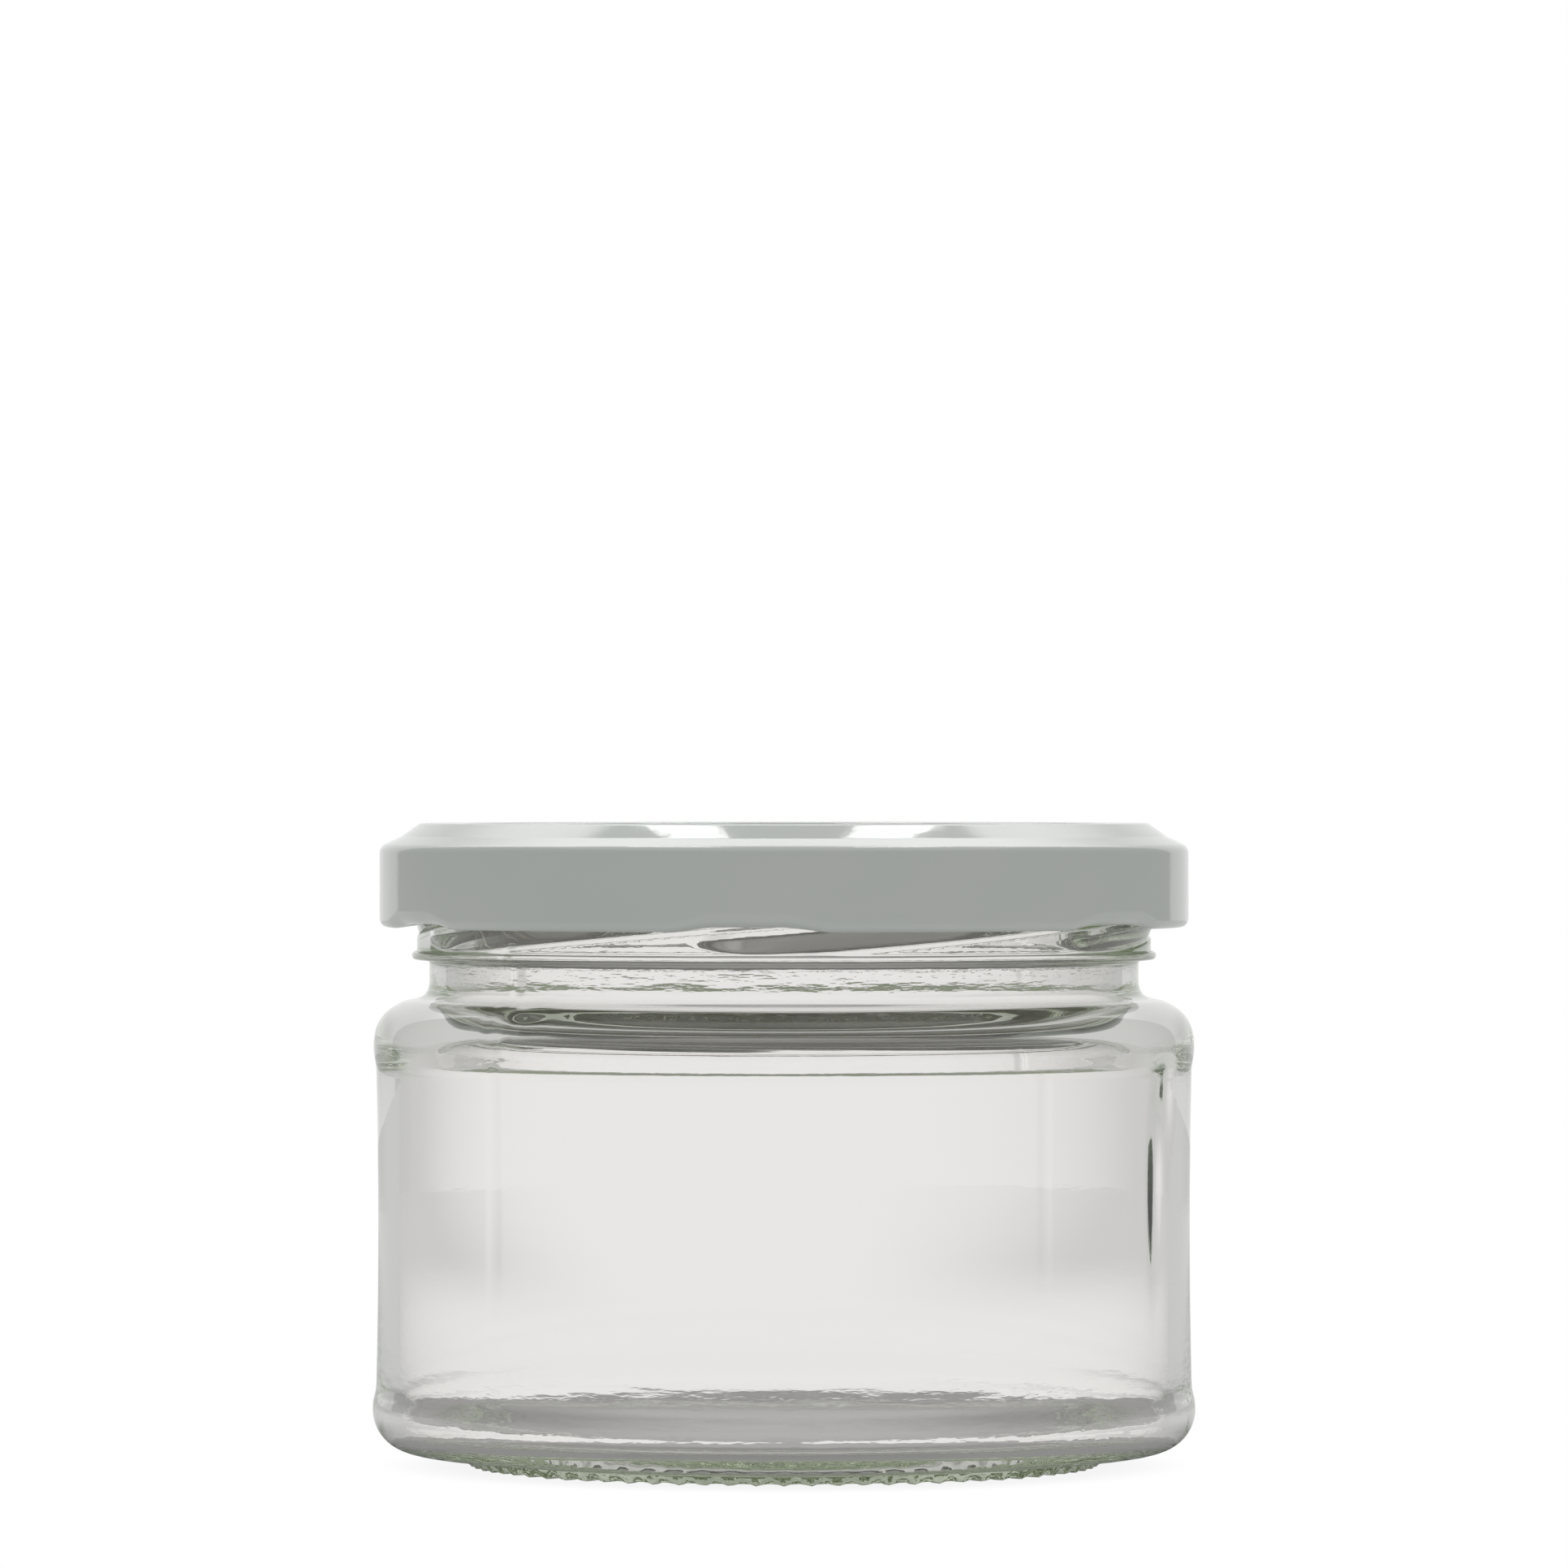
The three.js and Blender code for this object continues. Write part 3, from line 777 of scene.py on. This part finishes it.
sealPiece = sealingRing()
sealPiece.data.materials.append(sealingCompound())
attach(sealPiece, "seal")
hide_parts("sealing_ring")
print("sealing ring made,", len(sealPiece.data.polygons), "faces")


# studio

studio = {
    "seenLight": 1.0,        # the backdrop as the camera sees it
    "backTurn": 37,          # degrees that the lit backdrop reaches to each side
    "backLight": 0.93,       # at the horizon
    "backTopLight": 3.4,     # at its upper end
    "backBright": 24,        # it starts to get brighter this high up
    "backRise": 54,          # and ends here
    "backEdge": 0.02,        # how soft its edges are
    "frontLight": 0.4,
    "topLight": 1.0,
    "roundLight": 0.87,      # what is seen straight through the glass, all round
    "panels": 8,             # it comes from lit panels, a little darker between them
    "panelTurn": -1.5,
    "panelHalf": 2.5,
    "panelFade": 9.5,
    "panelGap": 0.72,
    "strayLight": 0.55,      # what is seen by light that was reflected inside the glass
    "strayTopLight": 0.62,   # the same, overhead
    "strayBackLight": 0.38,  # and low down, straight behind the jar
    "strayBackHalf": 6,
    "strayBackFade": 14,
    "strayLow": 0.1,         # from this share of the way up the overhead light starts
    "strayHigh": 0.5,
    "boxTurns": (-24.5, 26), # two soft boxes overhead, from the back
    "boxRise": 65,
    "boxDistance": 1100,
    "boxWidth": 85,
    "boxLength": 300,
    "boxLight": 9.0,
    "floorRadius": 900,
    "floorSides": 96,
    "floorLight": 0.7,       # what the floor gives back to the jar
    "strayUnder": 0.26,      # painted shadow under the jar, for light reflected inside the glass
    "strayOuter": 110,       # and from here on it is as bright as the room
    "centreInner": 14,       # painted shadow on the floor: dark in a ring under the jar, lighter in the middle
    "centreOuter": 30,
    "centreShade": 0.48,
    "shadeInner": 40,
    "shadeOuter": 72,
    "shade": 0.18,
    "seenOuter": 44,         # and to the camera only a little darker beside it, painted shadow
    "shadeSeen": 0.9,
    "panelNear": 180,        # far from the jar the floor's glow takes the panels' light pattern too, painted light
    "panelFar": 420,
    "bounces": 96,
    "glassBounces": 64,      # light runs far inside the base
}

camera = {"distance": 1030, "height": 71.5, "lens": 225.0, "sensor": 36, "clipEnd": 100}


def mapRange(tree, value, low, high, start, end):
    node = tree.nodes.new("ShaderNodeMapRange")
    node.interpolation_type = "SMOOTHSTEP"
    for key, number in (("From Min", low), ("From Max", high), ("To Min", start), ("To Max", end)):
        node.inputs[key].default_value = number
    tree.links.new(value, node.inputs["Value"])
    return node.outputs["Result"]


def maths(tree, operation, a, b):
    node = tree.nodes.new("ShaderNodeMath")
    node.operation = operation
    feed(tree, node.inputs[0], a)
    feed(tree, node.inputs[1], b)
    return node.outputs[0]


def turnAndHeight(tree, place):  # turn from the back, in radians
    axes = tree.nodes.new("ShaderNodeSeparateXYZ")
    tree.links.new(place, axes.inputs[0])
    return maths(tree, "ARCTAN2", axes.outputs["X"], axes.outputs["Y"]), axes.outputs["Z"]


def throughGlass(tree):  # light straight through the glass, reflected inside it, or seen directly
    path = tree.nodes.new("ShaderNodeLightPath")
    atLeastOnce = 0.5
    inGlass = maths(tree, "GREATER_THAN", path.outputs["Transmission Depth"], atLeastOnce)
    reflected = maths(tree, "GREATER_THAN", path.outputs["Glossy Depth"], atLeastOnce)
    stray = maths(tree, "MULTIPLY", inGlass, reflected)
    return maths(tree, "SUBTRACT", inGlass, stray), stray, path.outputs["Is Camera Ray"]


def panelLight(tree, turn):
    fromPanel = maths(tree, "SUBTRACT", turn, math.radians(studio["panelTurn"]))
    fromPanel = maths(tree, "PINGPONG", fromPanel, math.pi / studio["panels"])
    inner = math.radians(studio["panelHalf"])
    outer = math.radians(studio["panelHalf"] + studio["panelFade"])
    gapLight = studio["roundLight"] * studio["panelGap"]
    return mapRange(tree, fromPanel, inner, outer, studio["roundLight"], gapLight)


def strayRoom(tree, away, height):
    inner = math.radians(studio["strayBackHalf"])
    outer = math.radians(studio["strayBackHalf"] + studio["strayBackFade"])
    low = mapRange(tree, away, inner, outer, studio["strayBackLight"], studio["strayLight"])
    overhead = mapRange(tree, height, studio["strayLow"], studio["strayHigh"], 0, 1)
    return blend(tree, overhead, low, studio["strayTopLight"])


def studioLight():
    world = bpy.data.worlds.new("studio")
    world.use_nodes = True
    bpy.context.scene.world = world
    tree = world.node_tree
    turn, height = turnAndHeight(tree, tree.nodes.new("ShaderNodeTexCoord").outputs["Generated"])
    away = maths(tree, "ABSOLUTE", turn, 0)
    side, soft = math.radians(studio["backTurn"]), studio["backEdge"]
    top = math.sin(math.radians(studio["backRise"]))
    bright = math.sin(math.radians(studio["backBright"]))
    back = mapRange(tree, height, bright, top, studio["backLight"], studio["backTopLight"])
    beside = mapRange(tree, away, side - soft, side + soft, 0, 1)
    overhead = mapRange(tree, height, top - soft, top + soft, 0, 1)
    straight, stray, direct = throughGlass(tree)
    room = blend(tree, beside, back, studio["frontLight"])
    room = blend(tree, overhead, room, studio["topLight"])
    room = blend(tree, stray, room, strayRoom(tree, away, height))
    room = blend(tree, straight, room, panelLight(tree, turn))
    room = blend(tree, direct, room, studio["seenLight"])
    tree.links.new(room, tree.nodes["Background"].inputs["Strength"])
    tree.nodes["Background"].inputs["Color"].default_value = (1, 1, 1, 1)


def softBox(turn):
    turn, rise = math.radians(turn), math.radians(studio["boxRise"])
    away = studio["boxDistance"] * mm
    x, y = math.sin(turn) * math.cos(rise) * away, math.cos(turn) * math.cos(rise) * away
    z = math.sin(rise) * away + lidTop * mm
    deselectAll()
    bpy.ops.object.light_add(type="AREA", location=(x, y, z), rotation=(rise - math.pi / 2, 0, -turn))
    box = bpy.context.object
    box.data.shape = "RECTANGLE"
    box.data.size = studio["boxWidth"] * mm
    box.data.size_y = studio["boxLength"] * mm
    box.data.energy = studio["boxLight"] * math.pi * box.data.size * box.data.size_y
    box.visible_camera = False
    box.visible_transmission = False


# the floor only glows; its painted shadow is a glow that falls with nearness to the jar, not light being
# blocked
def floorGlow(tree):
    place = tree.nodes.new("ShaderNodeTexCoord").outputs["Object"]
    length = tree.nodes.new("ShaderNodeVectorMath")
    length.operation = "LENGTH"
    tree.links.new(place, length.inputs[0])
    reach = maths(tree, "DIVIDE", length.outputs["Value"], mm)
    turn = turnAndHeight(tree, place)[0]
    straight, stray, direct = throughGlass(tree)
    under, shade = jar["bearingRadius"], studio["shade"]
    outer = mapRange(tree, reach, studio["shadeInner"], studio["shadeOuter"], shade, 1.0)
    centre = mapRange(tree, reach, studio["centreInner"], studio["centreOuter"], studio["centreShade"], shade)
    far = mapRange(tree, reach, studio["panelNear"], studio["panelFar"], 0, 1)
    strayFloor = mapRange(tree, reach, under, studio["strayOuter"], studio["strayUnder"], studio["strayLight"])
    seen = mapRange(tree, reach, under, studio["seenOuter"], studio["shadeSeen"], 1.0)
    lit = blend(tree, far, studio["roundLight"], panelLight(tree, turn))
    light = blend(tree, straight, studio["floorLight"], lit)
    light = maths(tree, "MULTIPLY", light, maths(tree, "MAXIMUM", outer, centre))
    light = blend(tree, stray, light, strayFloor)
    return blend(tree, direct, light, seen)


def floorDisc():
    deselectAll()
    bpy.ops.mesh.primitive_circle_add(vertices=studio["floorSides"], radius=studio["floorRadius"] * mm,
                                      fill_type="NGON")
    piece = bpy.context.object
    piece.name = "floor"
    material, tree = newMaterial("paleFloor")
    tree.nodes.remove(tree.nodes["Principled BSDF"])
    glow = tree.nodes.new("ShaderNodeEmission")
    tree.links.new(floorGlow(tree), glow.inputs["Strength"])
    tree.links.new(glow.outputs["Emission"], tree.nodes["Material Output"].inputs["Surface"])
    piece.data.materials.append(material)


def photoCamera():
    deselectAll()
    bpy.ops.object.camera_add(location=(0, -camera["distance"] * mm, camera["height"] * mm),
                              rotation=(math.pi / 2, 0, 0))
    eye = bpy.context.object
    eye.data.lens = camera["lens"]
    eye.data.sensor_width = camera["sensor"]
    eye.data.clip_end = camera["clipEnd"]
    bpy.context.scene.camera = eye


studioLight()
for turn in studio["boxTurns"]:
    softBox(turn)
floorDisc()
photoCamera()
bpy.context.scene.view_settings.view_transform = "Standard"
bpy.context.scene.cycles.max_bounces = studio["bounces"]
bpy.context.scene.cycles.transmission_bounces = studio["glassBounces"]
bpy.context.scene.cycles.glossy_bounces = studio["glassBounces"]
print("studio ready")
